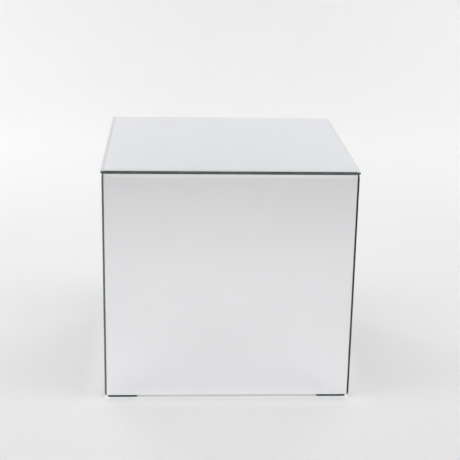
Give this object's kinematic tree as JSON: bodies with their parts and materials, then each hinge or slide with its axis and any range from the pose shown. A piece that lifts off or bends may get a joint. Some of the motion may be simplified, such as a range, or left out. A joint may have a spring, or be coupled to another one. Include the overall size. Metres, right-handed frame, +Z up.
{
  "type": "mirrored display cube",
  "caption": "Near-cubic display plinth clad in bevelled mirror panels over a timber carcass, standing on low square pads; flat top for showing an object.",
  "frame": {"origin": "on the floor, under the centre of the cube", "axes": "+Z up; -Y out of the front mirror, which stands between the left and right mirrors; +X to the right as seen from the front"},
  "size_m": [0.5, 0.5, 0.478],
  "materials": {
    "mirror_glass": "silvered float glass, bevelled, dark green at its ground edges",
    "adhesive": "cured neutral silicone mirror adhesive, dull grey",
    "fibreboard": "medium density fibreboard, sawn and unpainted",
    "pine": "planed pine",
    "foot_plastic": "black moulded plastic, finely textured",
    "felt": "black needle felt",
    "screw_zinc": "bright zinc plated steel"
  },
  "bodies": {
    "root": {"top_mirror": "mirror_glass", "front_mirror": "mirror_glass", "right_mirror": "mirror_glass", "back_mirror": "mirror_glass", "left_mirror": "mirror_glass", "top_bead_1": "adhesive", "top_bead_2": "adhesive", "top_bead_3": "adhesive", "front_bead_1": "adhesive", "front_bead_2": "adhesive", "front_bead_3": "adhesive", "right_bead_1": "adhesive", "right_bead_2": "adhesive", "right_bead_3": "adhesive", "back_bead_1": "adhesive", "back_bead_2": "adhesive", "back_bead_3": "adhesive", "left_bead_1": "adhesive", "left_bead_2": "adhesive", "left_bead_3": "adhesive", "top_board": "fibreboard", "base_board": "fibreboard", "front_board": "fibreboard", "right_board": "fibreboard", "back_board": "fibreboard", "left_board": "fibreboard", "corner_post_front_left": "pine", "corner_post_front_right": "pine", "corner_post_back_left": "pine", "corner_post_back_right": "pine", "lower_batten_front": "pine", "lower_batten_right": "pine", "lower_batten_back": "pine", "lower_batten_left": "pine", "upper_batten_front": "pine", "upper_batten_right": "pine", "upper_batten_back": "pine", "upper_batten_left": "pine", "foot_plate_front_left": "foot_plastic", "foot_sole_front_left": "felt", "base_screw_front_left": "screw_zinc", "foot_screw_front_left_1": "screw_zinc", "foot_screw_front_left_2": "screw_zinc", "foot_plate_front_right": "foot_plastic", "foot_sole_front_right": "felt", "base_screw_front_right": "screw_zinc", "foot_screw_front_right_1": "screw_zinc", "foot_screw_front_right_2": "screw_zinc", "foot_plate_back_left": "foot_plastic", "foot_sole_back_left": "felt", "base_screw_back_left": "screw_zinc", "foot_screw_back_left_1": "screw_zinc", "foot_screw_back_left_2": "screw_zinc", "foot_plate_back_right": "foot_plastic", "foot_sole_back_right": "felt", "base_screw_back_right": "screw_zinc", "foot_screw_back_right_1": "screw_zinc", "foot_screw_back_right_2": "screw_zinc"}
  },
  "joints": []
}
